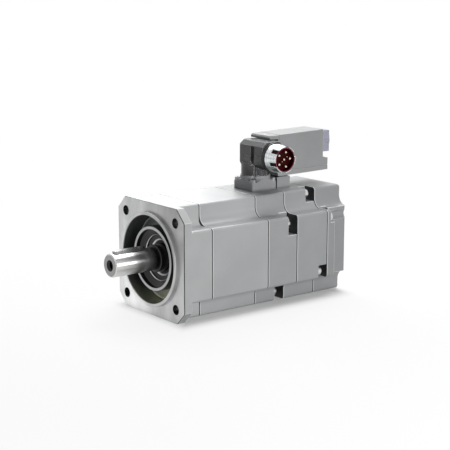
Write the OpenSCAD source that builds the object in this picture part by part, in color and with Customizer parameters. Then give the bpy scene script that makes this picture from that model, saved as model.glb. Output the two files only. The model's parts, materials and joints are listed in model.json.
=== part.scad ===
// Synchronous servo motor with square mounting flange, keyed shaft, holding brake,
// encoder, swivelling power connector and encoder interface box.
// Frame: origin where the shaft axis meets the flange mounting face.
// The shaft points to -Y, the power connector faces +X, +Z is up. Millimetres.

/* [Flange] */
// Side of the square mounting flange
flange_w = 155; // [150:1:170]
// Corner chamfer of the flange
flange_chamfer = 17; // [12:0.5:20]
// Thickness of the flange plate
flange_t = 13; // [11:0.5:16]
// Pitch circle of the four mounting holes
bolt_pcd = 165; // [160:1:170]
// Diameter of the mounting holes
bolt_hole_d = 13.5; // [11:0.5:14]
// Centring spigot diameter
pilot_d = 130; // [124:1:130]
// Centring spigot height
pilot_h = 4.8; // [3:0.1:6]

/* [Body] */
// Width of the ribs that give the body its cross shape
ridge_w = 96.4; // [92:0.4:98]
// Half height of the wide part of the cross
shoulder_h = 48.6; // [46:0.2:49.4]
// Radius between a rib and its shoulder
fillet_r = 14; // [8:0.5:15]
// Radius on the outer corners of the cross
corner_r = 4; // [2:0.5:5]
// Length of the front bearing shield with its flange
front_len = 46.4; // [45:0.2:54]
// Length of the stator housing
stator_len = 95.9; // [90:0.5:140]
// Length of the rear bearing shield
shield_len = 51.7; // [50:0.5:60]
// Length of the brake housing
brake_len = 56.4; // [54:0.5:66]
// Length of the rear cover
cover_len = 49.2; // [48:0.5:60]
// Thickness of the seals between the housing sections
gasket_t = 0.8; // [0.5:0.1:1]

/* [Shaft] */
// Shaft end diameter
shaft_d = 32; // [28:0.5:32]
// Shaft end length in front of the flange face
shaft_len = 64.5; // [58:0.5:80]
// Key width
key_w = 10; // [8:0.5:10]
// Key height
key_h = 8; // [7:0.5:8]
// Key length
key_len = 50; // [36:1:50]
// Tapped centre hole, tapping diameter
centre_d = 10.2; // [8.5:0.1:10.2]
// Running clearance of turning fits, radial
run_c = 0.05; // [0.02:0.01:0.08]
// Play of fixed fits, radial
fix_c = 0.02; // [0.01:0.01:0.03]

/* [Connectors] */
// Width of the connector feet across the motor
foot_w = 43.6; // [40:0.4:46]
// Height of the power connector axis above the motor top
conn_h = 48.6; // [48.2:0.2:52]
// Radius of the power connector socket ring
ring_r = 19.9; // [19.6:0.1:20.2]
// Reach of the power connector from its swivel axis
conn_reach = 66; // [65:0.5:72]
// Length of the encoder interface box
ebox_len = 83; // [80:0.5:100]
// Width of the encoder interface box
ebox_w = 43; // [40:0.5:44]

/* [Hidden] */
H = flange_w/2;
RW = ridge_w/2;
y1 = front_len;
y2 = y1 + stator_len;
y3 = y2 + shield_len;
y4 = y3 + brake_len;
y5 = y4 + cover_len;
g = gasket_t/2;
sr = shaft_d/2;
stator_r = H - 15.5;
cav_r = H - 19.5;
seal_r = 22.45;
jr = sr + 3;              // seal journal radius
shaft_turn = -20;
fb_ri = 20;               // front bearing bore radius
fb_ro = 40;
fb_w = 18;
fb_y = 27;
fb_ball = 6;
fb_pitch = 30;
rb_ri = 15;
rb_ro = 31;
rb_w = 16;
rb_y = y2 + 9;
rb_ball = 4.76;
rb_pitch = 23;
core_r = stator_r - 27;
rsr = core_r - 12;        // shaft radius inside the rotor
mag_r = stator_r - 22.6;
bore_r = stator_r - 21;
core_y0 = y1 + 10;
core_y1 = y2 - 10;
ta = H - 11.5;
tc = H - 8.5;
tb = [[ta,37],[37,-ta],[-ta,-37],[-37,ta]];      // pinwheel screw places
tbm = [[38.5,tc],[tc,-38.5],[-38.5,-tc],[-tc,38.5]];
hole_p = min(bolt_pcd/2, (2*H - flange_chamfer)/sqrt(2) - bolt_hole_d/2 - 3)/sqrt(2);
top = H;
pc_y = y3 - 13;           // swivel axis of the power connector
pc_z = top + conn_h;      // axis of the power socket
foot_h = 11.6;
collar_z = top + 20.4;
foot_l = 44.2;
neck_r = 20;
ring_x0 = conn_reach - 21.6;
head_x = ring_x0 - 5.5;   // end of the elbow behind its seal
eb_y0 = pc_y + foot_l/2 + 0.5;
eb_len = 24;
eb_z = top + 16;
bx_y0 = eb_y0 + 4;        // front of the encoder box
bx_y1 = bx_y0 + ebox_len;
bx_x = ebox_w/2;
bx_z0 = top + 17.6;
bx_zs = bx_z0 + 7.7;
bx_zt = top + 75.9;
vis_z = pc_z + 22.0;      // underside of the visor, clear of the connector head
cap_z0 = top + 44.6;
cap_z1 = top + 75.4;
fine = 96;

/* [Part] */

// ---- helpers -------------------------------------------------------------
module ycyl(r, a, b, f = fine) translate([0, a, 0]) rotate([-90, 0, 0])
  cylinder(r = r, h = b - a, $fn = f);
module ytube(ro, ri, a, b) difference() { ycyl(ro, a, b); ycyl(ri, a - 1, b + 1); }
module yrev(pts) rotate([-90, 0, 0]) rotate_extrude($fn = fine) polygon(pts);
module box(a, b) translate(a) cube([b[0] - a[0], b[1] - a[1], b[2] - a[2]]);
module at(p, a, b, r, f = 48) translate([p[0], 0, p[1]]) ycyl(r, a, b, f);
module xpoly(x0, x1, pts) translate([x0, 0, 0]) rotate([90, 0, 90])
  linear_extrude(x1 - x0) polygon(pts);
module slab(w, l, r, z0, z1) translate([0, 0, z0]) linear_extrude(z1 - z0) union() {
  square([w - 2*r, l], center = true);
  square([w, l - 2*r], center = true);
  for (i = [-1, 1], j = [-1, 1]) translate([i*(w/2 - r), j*(l/2 - r)]) circle(r = r, $fn = 32);
}
// one bar of the cross with rounded outer corners
module bar2d(w, h, r) union() {
  square([2*w - 2*r, 2*h], center = true);
  square([2*w, 2*h - 2*r], center = true);
  for (i = [-1, 1], j = [-1, 1]) translate([i*(w - r), j*(h - r)]) circle(r = r, $fn = 48);
}
module cross2d(h, a, s, fr, cr) union() {
  bar2d(a, h, cr);
  bar2d(h, s, cr);
  for (i = [-1, 1], j = [-1, 1]) scale([i, j]) difference() {
    translate([a - 1, s - 1]) square([fr + 1, fr + 1]);
    translate([a + fr, s + fr]) circle(r = fr, $fn = 64);
  }
}
module cross(y0, y1, d = 0, fr = fillet_r) translate([0, y0, 0]) rotate([-90, 0, 0])
  linear_extrude(y1 - y0) cross2d(H - d, RW - d, shoulder_h - d, fr, corner_r);
// hexagon socket cap screw along -Y, head bearing at y = b, shank reaching to y = a
module capscrew(p, a, b, r, hr, hh, k) translate([p[0], 0, p[1]]) difference() {
  union() {
    ycyl(r, a, b + 0.1, 32);
    yrev([[0, b], [hr, b], [hr, b + hh - 0.8], [hr - 0.8, b + hh], [0, b + hh]]);
  }
  translate([0, b + hh - k, 0]) rotate([-90, 0, 0]) cylinder(r = r*0.86, h = k + 1, $fn = 6);
}

// ---- housing sections ----------------------------------------------------
module octagon2d(h, c) polygon([[-h + c, -h], [h - c, -h], [h, -h + c], [h, h - c],
  [h - c, h], [-h + c, h], [-h, h - c], [-h, -h + c]]);
module front_shield() color([0.72, 0.73, 0.74]) difference() {
  union() {
    // flange plate with a small chamfer round its front face
    difference() {
      rotate([-90, 0, 0]) linear_extrude(flange_t) octagon2d(H, flange_chamfer);
      for (k = [0:3]) rotate([0, 90*k, 0]) {
        translate([0, 0, H - 1.2]) rotate([45, 0, 0]) translate([-H, -5, 0]) cube([2*H, 5, 5]);
        rotate([0, 45, 0]) translate([0, 0, (2*H - flange_chamfer)/sqrt(2) - 1.2])
          rotate([45, 0, 0]) translate([-30, -5, 0]) cube([60, 5, 5]);
      }
    }
    cross(flange_t - 0.5, y1 - g, 0, 8);
    yrev([[0, 1], [0, -1], [pilot_d/2 - 5.6, -pilot_h], [pilot_d/2 - 0.7, -pilot_h],
      [pilot_d/2, -pilot_h + 0.7], [pilot_d/2, 1]]);
  }
  // annular recess in front, bearing boss left standing
  yrev([[44.6, 22], [44.6, 3.4], [43.8, 2.6], [40.6, 2.6], [40, 3.2], [40, 9], [31.6, 14],
    [31, 14.6], [31, 16.5], [25.2, 18], [24, 18.4], [seal_r + 0.6, 19], [seal_r, 20],
    [seal_r, -9], [0, -9], [0, -20], [60.6, -20], [60.6, -pilot_h + 0.6], [60, -pilot_h + 1.2],
    [60, 19], [57, 22]]);
  ycyl(seal_r, -20, y1);
  ycyl(fb_ro + fix_c, fb_y, y1 + 1);
  // room for the end turns
  yrev([[0, y1 - 5], [cav_r - 4, y1 - 5], [cav_r, y1 - 1], [cav_r, y1 + 1], [0, y1 + 1]]);
  for (i = [-1, 1], j = [-1, 1])
    at([i*hole_p, j*hole_p], -1, flange_t + 1, bolt_hole_d/2, 64);
  // spot faces behind the flange holes
  for (i = [-1, 1], j = [-1, 1])
    at([i*hole_p, j*hole_p], flange_t, flange_t + 5, 12.4, 64);
  for (p = tb) at(p, y1 - 18, y1 + 1, 4 + fix_c);
}
module section(a, b) difference() { cross(a, b); children(); }
module stator_housing() color([0.7, 0.71, 0.72]) section(y1 + g, y2 - g) {
  ycyl(stator_r, y1, y2);
  for (p = tb) at(p, y1 - 1, y2 + 1, 4.4);
}
// pinwheel pocket beside one screw: open to the side and to the section behind
module pocket(p, a, b, t) {
  s = [sign(p[0]), sign(p[1])];
  if (abs(p[0]) > abs(p[1]))
    box([s[0] > 0 ? p[0] - 10.5 : -H - 5, a, min(s[1]*(abs(p[1]) - t), s[1]*(shoulder_h + 25))],
        [s[0] > 0 ? H + 5 : p[0] + 10.5, b, max(s[1]*(abs(p[1]) - t), s[1]*(shoulder_h + 25))]);
  else
    box([min(s[0]*(abs(p[0]) - t), s[0]*(RW + 25)), a, s[1] > 0 ? p[1] - 10.5 : -H - 5],
        [max(s[0]*(abs(p[0]) - t), s[0]*(RW + 25)), b, s[1] > 0 ? H + 5 : p[1] + 10.5]);
}
module rear_shield() color([0.7, 0.71, 0.72]) section(y2 + g, y3 - g) {
  yrev([[0, y2 - 1], [cav_r, y2 - 1], [cav_r, y2 + 1], [cav_r - 2, y2 + 3], [0, y2 + 3]]);
  ycyl(rb_ri + 6, y2, rb_y + 1);
  ycyl(rb_ro + fix_c, rb_y - 2, rb_y + rb_w + 4);
  yrev([[0, rb_y + rb_w + 2], [cav_r - 6, rb_y + rb_w + 2], [cav_r - 2, rb_y + rb_w + 6],
    [cav_r - 2, y3 + 1], [0, y3 + 1]]);
  for (p = tb) { at(p, y2 - 1, y3, 4.4); pocket(p, y3 - 15.6, y3 + 1, 15); }
  for (p = tbm) at(p, y3 - 20, y3 + 1, 4 + fix_c);
  // passage for the power leads
  translate([0, pc_y, 0]) cylinder(r = 9, h = H + 5, $fn = 48);
  for (i = [-1, 1], j = [-1, 1]) if (j < 0)
    translate([i*17.4, pc_y + j*17.6, top - 9]) cylinder(r = 2.5 + fix_c, h = 20, $fn = 32);
}
module brake_housing() color([0.69, 0.7, 0.71]) section(y3 + g, y4 - g) {
  ycyl(cav_r - 2, y3 - 1, y4 - 19);
  ycyl(14, y3, y4);
  ycyl(cav_r - 6, y4 - 13, y4 + 1);
  for (p = tbm) { at(p, y3 - 1, y4, 4.4); pocket(p, y4 - 15.6, y4 + 1, 9.5); }
  for (p = tb) at(p, y4 - 20, y4 + 1, 4 + fix_c);
  for (a = [90, 210, 330]) rotate([0, a, 0]) at([cav_r - 17, 0], y4 - 20, y4 - 12, 2.6, 24);
  translate([0, eb_y0 + 12, 0]) cylinder(r = 6, h = H + 5, $fn = 48);
  translate([0, pc_y + 17.6, 0]) for (i = [-1, 1]) if (pc_y + 17.6 > y3 + 1)
    translate([i*17.4, 0, top - 9]) cylinder(r = 2.5 + fix_c, h = 20, $fn = 32);
  for (i = [-1, 1]) translate([i*14, eb_y0 + 18, top - 8])
    cylinder(r = 2 + fix_c, h = 20, $fn = 32);
}
module rear_cover() color([0.68, 0.69, 0.7]) difference() {
  union() {
    cross(y4 + g, y4 + 14.6);
    intersection() {
      cross(y4 + 10, y5);
      union() {
        box([-62, y4 + 10, -H - 5], [62, y5 + 1, H + 5]);
      }
    }
  }
  // bevel round the rear edges
  for (j = [-1, 1]) translate([0, y5, j*H]) rotate([45, 0, 0]) cube([200, 2.4, 2.4], center = true);
  for (i = [-1, 1]) translate([i*62, y5, 0]) rotate([0, 0, 45]) cube([2.4, 2.4, 300], center = true);
  ycyl(cav_r - 8, y4, y5 - 6);
  for (p = tb) {
    at(p, y4, y5, 4.4);
    at(p, y4 + 7.2, y5 + 1, 7.6);
    if (abs(p[0]) > abs(p[1])) pocket(p, y4 + 7.2, y4 + 15, 6);
  }
}
module gasket(y, r) color([0.12, 0.12, 0.12]) difference() {
  cross(y - g, y + g, 0.9);
  ycyl(r, y - 2, y + 2);
  children();
}
module front_gasket() gasket(y1, stator_r - 1) { for (p = tb) at(p, y1 - 2, y1 + 2, 4.6); }
module middle_gasket() gasket(y2, stator_r - 1) { for (p = tb) at(p, y2 - 2, y2 + 2, 4.6); }
module rear_gasket() gasket(y3, cav_r) {
  for (p = tb) pocket(p, y3 - 2, y3 + 2, 15);
  for (p = tbm) at(p, y3 - 2, y3 + 2, 4.6);
}
module cover_gasket() gasket(y4, cav_r) {
  for (p = tbm) pocket(p, y4 - 2, y4 + 2, 9.5);
  for (p = tb) at(p, y4 - 2, y4 + 2, 4.6);
}
module tie_bolts() color([0.75, 0.75, 0.76])
  for (p = tb) capscrew(p, y1 - 16, y3 - 15.6, 4, 6.5, 8, 4.5);
module brake_bolts() color([0.75, 0.75, 0.76])
  for (p = tbm) capscrew(p, y3 - 17, y4 - 15.6, 4, 6.5, 8, 4.5);
module cover_bolts() color([0.75, 0.75, 0.76])
  for (p = tb) capscrew(p, y4 - 17, y4 + 7.2, 4, 6.5, 8, 4.5);

// ---- shaft line ----------------------------------------------------------
module shaft() color([0.78, 0.78, 0.8]) difference() {
  rotate([0, shaft_turn, 0]) yrev([[0, -shaft_len], [sr - 1.5, -shaft_len], [sr, -shaft_len + 1.5], [sr, 2],
    [sr - 0.5, 2.3], [sr - 0.5, 3], [sr + 1.2, 3.3], [sr + 1.2, 4.6], [jr - 0.6, 5],
    [jr, 5.6], [jr, fb_y - 0.5], [fb_ri, fb_y - 0.5], [fb_ri, fb_y + fb_w], [rsr, fb_y + fb_w],
    [rsr, y2 - 2], [18, y2 - 2], [18, rb_y], [rb_ri, rb_y], [rb_ri, rb_y + rb_w],
    [rb_ri - 0.9, rb_y + rb_w], [rb_ri - 0.9, rb_y + rb_w + 1.2],
    [rb_ri, rb_y + rb_w + 1.2], [rb_ri, rb_y + rb_w + 4], [14, rb_y + rb_w + 4],
    [14, y3 + 12], [8, y3 + 12], [8, y4 - 6], [7, y4 - 6], [7, y4 + 20], [0, y4 + 20]]);
  // keyway
  translate([0, -(shaft_len - 5) + key_w/2, sr - 5]) {
    cylinder(r = key_w/2, h = 12, $fn = 48);
    translate([0, key_len - key_w, 0]) cylinder(r = key_w/2, h = 12, $fn = 48);
    translate([-key_w/2, 0, 0]) cube([key_w, key_len - key_w, 12]);
  }
  // tapped centre hole with its countersinks
  yrev([[0, -shaft_len - 1], [7.6, -shaft_len - 1], [7.6, -shaft_len + 0.2],
    [centre_d/2, -shaft_len + 3], [centre_d/2, -shaft_len + 28], [0, -shaft_len + 31]]);
}
module shaft_key() color([0.7, 0.7, 0.72])
  translate([0, -(shaft_len - 5) + key_w/2, sr - 5]) {
    r = key_w/2 - fix_c;
    intersection() {
      union() {
        cylinder(r = r, h = key_h, $fn = 48);
        translate([0, key_len - key_w, 0]) cylinder(r = r, h = key_h, $fn = 48);
        translate([-r, 0, 0]) cube([2*r, key_len - key_w, key_h]);
      }
      translate([0, 0, 0]) xpoly(-r - 1, r + 1, [[-r - 1, 0], [key_len - key_w + r + 1, 0],
        [key_len - key_w + r + 1, key_h - 1.6], [key_len - key_w + r - 0.6, key_h],
        [-r + 0.6, key_h], [-r - 1, key_h - 1.6]]);
    }
  }
module shaft_seal() color([0.08, 0.08, 0.08])
  yrev([[jr + run_c, 20.6], [jr + 1.2, 20.2], [seal_r - fix_c, 20.2], [seal_r - fix_c, 26.2],
    [jr + 1, 26.2], [jr + run_c, 25]]);
// ball bearing pieces
module race(ri, ro, y, w, ball, pitch, c) difference() {
  yrev([[ri, y + c], [ri + c, y], [ro - c, y], [ro, y + c], [ro, y + w - c], [ro - c, y + w],
    [ri + c, y + w], [ri, y + w - c]]);
  translate([0, y + w/2, 0]) rotate([-90, 0, 0]) rotate_extrude($fn = fine)
    translate([pitch, 0]) circle(r = ball + run_c, $fn = 48);
}
module balls(y, w, ball, pitch, n) for (k = [0:n - 1]) rotate([0, k*360/n, 0])
  translate([pitch, y + w/2, 0]) sphere(r = ball, $fn = 32);
module cage(y, w, ball, pitch, n, t) difference() {
  ytube(pitch + t, pitch - t, y + w/2 - ball - 1.3, y + w/2 + ball + 1.3);
  for (k = [0:n - 1]) rotate([0, k*360/n, 0]) translate([pitch - t - 3, y + w/2, 0])
    rotate([0, 90, 0]) cylinder(r = ball + 0.15, h = 2*t + 6, $fn = 64);
}
module front_bearing_outer() color([0.75, 0.76, 0.78])
  race(33.6, fb_ro, fb_y, fb_w, fb_ball, fb_pitch, 0.6);
module front_bearing_inner() color([0.75, 0.76, 0.78])
  race(fb_ri + fix_c, 26.4, fb_y, fb_w, fb_ball, fb_pitch, 0.6);
module front_bearing_balls() color([0.8, 0.8, 0.82]) balls(fb_y, fb_w, fb_ball, fb_pitch, 9);
module front_bearing_cage() color([0.7, 0.6, 0.35]) cage(fb_y, fb_w, fb_ball, fb_pitch, 9, 1.6);
module rear_bearing_outer() color([0.75, 0.76, 0.78])
  race(25.9, rb_ro, rb_y, rb_w, rb_ball, rb_pitch, 0.5);
module rear_bearing_inner() color([0.75, 0.76, 0.78])
  race(rb_ri + fix_c, 20.1, rb_y, rb_w, rb_ball, rb_pitch, 0.5);
module rear_bearing_balls() color([0.8, 0.8, 0.82]) balls(rb_y, rb_w, rb_ball, rb_pitch, 9);
module rear_bearing_cage() color([0.7, 0.6, 0.35]) cage(rb_y, rb_w, rb_ball, rb_pitch, 9, 1.3);
module bearing_cap() color([0.6, 0.6, 0.62]) difference() {
  ytube(fb_ro, 36, fb_y + fb_w, y1 + 3);
}
module wave_spring() color([0.6, 0.6, 0.62])
  ytube(rb_ro - 0.5, 27, rb_y - 2, rb_y);

// ---- motor windings and rotor -------------------------------------------
module stator_core() color([0.35, 0.36, 0.38]) translate([0, core_y0, 0]) rotate([-90, 0, 0])
  linear_extrude(core_y1 - core_y0) difference() {
    circle(r = stator_r - fix_c, $fn = fine);
    circle(r = bore_r, $fn = fine);
    for (k = [0:11]) rotate(k*30) {
      polygon([[bore_r + 1.5, -3], [bore_r + 5, -6.5], [bore_r + 13, -7.8], [bore_r + 13, 7.8],
        [bore_r + 5, 6.5], [bore_r + 1.5, 3]]);
      translate([bore_r - 1, -1]) square([3, 2]);
    }
  }
module stator_windings() color([0.72, 0.42, 0.2]) {
  translate([0, core_y0 - 0.2, 0]) rotate([-90, 0, 0])
    linear_extrude(core_y1 - core_y0 + 0.4)
      for (k = [0:11]) rotate(k*30)
        polygon([[bore_r + 2, -2.8], [bore_r + 5.2, -6.1], [bore_r + 12.6, -7.3],
          [bore_r + 12.6, 7.3], [bore_r + 5.2, 6.1], [bore_r + 2, 2.8]]);
  for (a = [core_y0 - 11, core_y1 + 0.1])
    yrev([[bore_r + 4, a], [bore_r + 11, a], [bore_r + 13.5, a + 3], [bore_r + 13.5, a + 10.9],
      [bore_r + 1.8, a + 10.9], [bore_r + 1.8, a + 3]]);
}
module rotor_core() color([0.4, 0.41, 0.43]) ytube(core_r, rsr + fix_c, core_y0 + 2, core_y1 - 2);
module rotor_magnets() color([0.5, 0.5, 0.52]) for (k = [0:7]) rotate([0, k*45, 0])
  translate([0, core_y0 + 3, 0]) rotate([-90, 0, 0]) linear_extrude(core_y1 - core_y0 - 6)
    intersection() {
      difference() {
        circle(r = mag_r, $fn = fine);
        circle(r = core_r + fix_c, $fn = fine);
      }
      polygon([[0, 0], [50, -16], [50, 16]]);
    }
module balance_discs() color([0.68, 0.55, 0.3]) {
  ytube(core_r, rsr + fix_c, core_y0 - 3, core_y0 + 2);
  ytube(core_r, rsr + fix_c, core_y1 - 2, core_y1 + 3);
}
module shaft_circlip() color([0.3, 0.3, 0.32]) difference() {
  ytube(rb_ri + 2.6, rb_ri - 0.9 + fix_c, rb_y + rb_w + fix_c, rb_y + rb_w + 1.2 - fix_c);
  box([-2.5, y2, -40], [2.5, y4, 0]);
}
// ---- brake ---------------------------------------------------------------
bk = y4 - 19;
br = cav_r - 8;           // radius of the brake magnet
module brake_magnet() color([0.3, 0.31, 0.33]) difference() {
  ycyl(br, bk - 20, bk);
  ycyl(17, bk - 21, bk + 1);
  ytube(br - 6, br - 20, bk - 21, bk - 6);
  for (a = [90, 210, 330]) rotate([0, a, 0]) at([br - 9, 0], bk - 5, bk + 1, 2.5 + fix_c, 24);
}
module brake_coil() color([0.65, 0.3, 0.15]) 
  ytube(br - 6.1, br - 19.9, bk - 19.4, bk - 6.1);
module brake_armature() color([0.45, 0.45, 0.47]) difference() {
  ytube(br - 2, 24, bk - 26.6, bk - 20.9);
  for (k = [0:2]) rotate([0, 60 + k*120, 0]) at([(br + 22)/2, 0], bk - 28, bk - 20, 3, 32);
}
module brake_hub() color([0.6, 0.6, 0.62]) union() {
  ytube(22, 14 + fix_c, rb_y + rb_w + 6, y3 + 11);
  ytube(br - 10, 21, bk - 30, bk - 27.2);
}
module brake_screws() color([0.6, 0.6, 0.62]) for (a = [90, 210, 330]) rotate([0, a, 0])
  translate([br - 9, 0, 0]) union() {
    ycyl(2.5, bk - 4.5, y4 - 12.9, 24);
    ycyl(4.5, y4 - 13, y4 - 9, 24);
  }
// ---- encoder -------------------------------------------------------------
module encoder_hub() color([0.7, 0.7, 0.72]) ytube(12, 7 + fix_c, y4 + 3, y4 + 14.1);
module encoder_disc() color([0.8, 0.82, 0.85]) ytube(24, 7 + fix_c, y4 + 14.1, y4 + 15.6);
module encoder_body() color([0.2, 0.21, 0.22]) difference() {
  ycyl(29, y4 + g, y5 - 14);
  ycyl(26, y4 + 12, y5 - 17);
  ycyl(13, y4, y4 + 13);
}
module encoder_torque_arm() color([0.75, 0.76, 0.78]) difference() {
  ytube(cav_r - 6 - fix_c, 13.5, y4 - 0.6, y4 + g);
  for (k = [0:3]) rotate([0, 45 + 90*k, 0]) box([32, y4 - 2, -9], [42, y4 + 3, 9]);
}
// leads held by a grommet in the top wall
module power_leads() color([0.15, 0.15, 0.16]) translate([0, pc_y, 0]) union() {
  translate([0, 0, top - 14]) cylinder(r = 9 - fix_c, h = 5, $fn = 48);
  for (i = [-1, 1], j = [-1, 1]) translate([i*3.6, j*3.6, cav_r - 10])
    cylinder(r = 1.7, h = pc_z - 30 - cav_r, $fn = 24);
}

// ---- power connector -----------------------------------------------------
module round_flare(r, fr, z) translate([0, 0, z]) rotate_extrude($fn = fine) difference() {
  translate([r - 1, 0]) square([fr + 1, fr]);
  translate([r + fr, fr]) circle(r = fr, $fn = 48);
}
module power_foot() color([0.62, 0.63, 0.65]) translate([0, pc_y, 0]) difference() {
  union() {
    slab(foot_w, foot_l, 3, top, top + foot_h);
    intersection() {
      union() {
        translate([0, 0, top + foot_h - 1]) cylinder(r = 21.4, h = collar_z - top - foot_h + 1, $fn = fine);
        round_flare(21.3, 8, top + foot_h);
      }
      slab(foot_w, foot_l, 3, top, collar_z);
    }
  }
  translate([0, 0, top - 1]) cylinder(r = 14.6, h = 40, $fn = fine);
  translate([0, 0, top - 1]) cylinder(r = 18.4, h = 10, $fn = fine);
  for (i = [-1, 1], j = [-1, 1]) translate([i*17.4, j*17.6, 0]) {
    translate([0, 0, top - 1]) cylinder(r = 2.8, h = 30, $fn = 32);
    translate([0, 0, top + foot_h]) cylinder(r = 4.7, h = 12, $fn = 32);
  }
  // shadow flutes
  for (q = [[-40, 1.5, 22.4], [-130, 1.5, 22.4], [50, 1.5, 22.4], [140, 1.5, 22.4]])
    rotate(q[0]) translate([q[2] - 1.6, -q[1], top + foot_h + 2.2]) cube([9, 2*q[1], 14]);
}
module power_foot_screws() color([0.75, 0.75, 0.76]) translate([0, pc_y, 0])
  for (i = [-1, 1], j = [-1, 1]) translate([i*17.4, j*17.6, 0]) difference() {
    union() {
      translate([0, 0, top - 8]) cylinder(r = 2.5, h = foot_h + 8.1, $fn = 32);
      translate([0, 0, top + foot_h]) cylinder(r = 4.25, h = 5, $fn = 32);
    }
    translate([0, 0, top + foot_h + 2.4]) cylinder(r = 2.3, h = 5, $fn = 6);
  }
head_w = 18.2;
module head2d(up) polygon(up ? [[-head_w, 0], [head_w, 0], [head_w, 15.5], [12.4, 21.5],
  [-12.4, 21.5], [-head_w, 15.5]] : [[-head_w, -13], [head_w, -13], [head_w, 15.5], [12.4, 21.5],
  [-12.4, 21.5], [-head_w, 15.5]]);
module headbar(x0, x1, up) translate([x0, 0, 0]) rotate([90, 0, 90]) linear_extrude(x1 - x0)
  head2d(up);
module power_head() color([0.27, 0.27, 0.28]) translate([0, pc_y, pc_z]) difference() {
  union() {
    // neck on the swivel and rounded back of the elbow
    translate([0, 0, collar_z - pc_z + 0.35])
      cylinder(r = neck_r, h = pc_z - collar_z - 10, $fn = fine);
    intersection() {
      headbar(-25, 12, false);
      rotate_extrude($fn = fine) polygon([[0, -14], [neck_r, -14], [21.8, -9.5], [21.8, 15.5],
        [16.4, 21.5], [0, 21.5]]);
    }
    headbar(0, head_x, true);
    intersection() {
      rotate([0, 90, 0]) cylinder(r = 19.2, h = head_x, $fn = fine);
      translate([0, -30, -30]) cube([60, 60, 31]);
    }
    rotate([0, 90, 0]) cylinder(r = 17.2, h = ring_x0 + 2.6, $fn = fine);
    translate([0, 0, top + 8.5 - pc_z]) cylinder(r = 14.6 - run_c, h = 14, $fn = fine);
  }
  // pockets behind the barrel
  for (j = [-1, 1]) translate([12.4, j > 0 ? 15.4 : -24.4, -11]) cube([9.2, 9, 26]);
  // lead passage
  translate([0, 0, top - pc_z]) cylinder(r = 10.5, h = pc_z - top, $fn = fine);
  rotate([0, 90, 0]) translate([0, 0, 0]) cylinder(r = 13.5, h = ring_x0 + 9, $fn = fine);
  // flutes of the neck
  for (q = [[-40, 1.4], [-7, 0.6], [-130, 1.4], [140, 1.4]])
    rotate(q[0]) translate([neck_r - 1.3, -q[1], collar_z - pc_z]) cube([9, 2*q[1], 13.6]);
}
module swivel_ring() color([0.5, 0.5, 0.52]) translate([0, pc_y, 0]) difference() {
  translate([0, 0, top + 4.5]) cylinder(r = 17.8, h = 4.0, $fn = fine);
  translate([0, 0, top + 3]) cylinder(r = 10.6, h = 20, $fn = fine);
}
module head_seal() color([0.05, 0.05, 0.05]) translate([0, pc_y, pc_z]) rotate([0, 90, 0])
  difference() {
    translate([0, 0, head_x + 0.15]) cylinder(r = 20.8, h = ring_x0 - head_x - 0.8, $fn = fine);
    translate([0, 0, 30]) cylinder(r = 17.25, h = 40, $fn = fine);
  }
module locking_ring() color([0.8, 0.82, 0.82]) translate([0, pc_y, pc_z]) difference() {
  rotate([0, 90, 0]) rotate_extrude($fn = fine) polygon([[17.2 + run_c, ring_x0],
    [ring_r - 0.6, ring_x0], [ring_r, ring_x0 + 0.6], [ring_r, ring_x0 + 8],
    [18.7, conn_reach - 2], [18.2, conn_reach], [17.2 + run_c, conn_reach]]);
  for (k = [0:5]) rotate([k*60 - 40, 0, 0]) translate([conn_reach - 10.5, -30, -3.6])
    cube([20, 13, 7.2]);
}
module power_insert() color([0.3, 0.05, 0.08]) translate([0, pc_y, pc_z]) rotate([0, 90, 0])
  difference() {
    translate([0, 0, ring_x0 + 2.8]) cylinder(r = 17, h = conn_reach - ring_x0 - 3.2, $fn = fine);
    translate([0, 0, conn_reach - 9]) cylinder(r = 15.9, h = 20, $fn = fine);
    for (p = pins) translate([-p[1], p[0], 0]) cylinder(r = p[2] + fix_c, h = 90, $fn = 24);
  }
pins = [[0, 0, 1.5], [10.6, 0.6, 1.7], [3.2, 10.1, 1.7], [-8.6, 6.2, 1.7], [-8.5, -6.3, 1.7],
  [3.3, -10, 1.7], [4.8, 3.6, 0.9], [-3.9, -2.6, 0.9]];
module power_pins() color([0.85, 0.8, 0.7]) translate([0, pc_y, pc_z]) rotate([0, 90, 0])
  for (p = pins) translate([-p[1], p[0], 0]) union() {
    translate([0, 0, ring_x0 - 2]) cylinder(r = p[2], h = conn_reach - ring_x0 - 0.6, $fn = 24);
    translate([0, 0, conn_reach - 2.6]) cylinder(r1 = p[2], r2 = p[2]*0.6, h = 0.7, $fn = 24);
  }

// ---- encoder interface ---------------------------------------------------
module encoder_foot() color([0.6, 0.61, 0.63]) difference() {
  union() {
    box([-foot_w/2, eb_y0, top], [foot_w/2, eb_y0 + eb_len, eb_z]);
    box([-foot_w/2 + 3, eb_y0 + 7, eb_z - 1], [foot_w/2 - 3, eb_y0 + eb_len - 2, bx_z0]);
  }
  translate([0, eb_y0 + 12, top - 1]) cylinder(r = 6, h = 40, $fn = 48);
  for (i = [-1, 1]) translate([i*14, eb_y0 + 18, top - 1]) {
    cylinder(r = 2.3, h = 40, $fn = 32);
    translate([0, 0, eb_z - top - 5]) cylinder(r = 4, h = 40, $fn = 32);
  }
}
module encoder_foot_screws() color([0.7, 0.7, 0.71]) for (i = [-1, 1])
  translate([i*14, eb_y0 + 18, 0]) difference() {
    union() {
      translate([0, 0, top - 7]) cylinder(r = 2, h = eb_z + 2.2 - top, $fn = 32);
      translate([0, 0, eb_z - 5]) cylinder(r = 3.5, h = 4, $fn = 32);
    }
    translate([0, 0, eb_z - 2.8]) cylinder(r = 1.7, h = 5, $fn = 6);
  }
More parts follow.
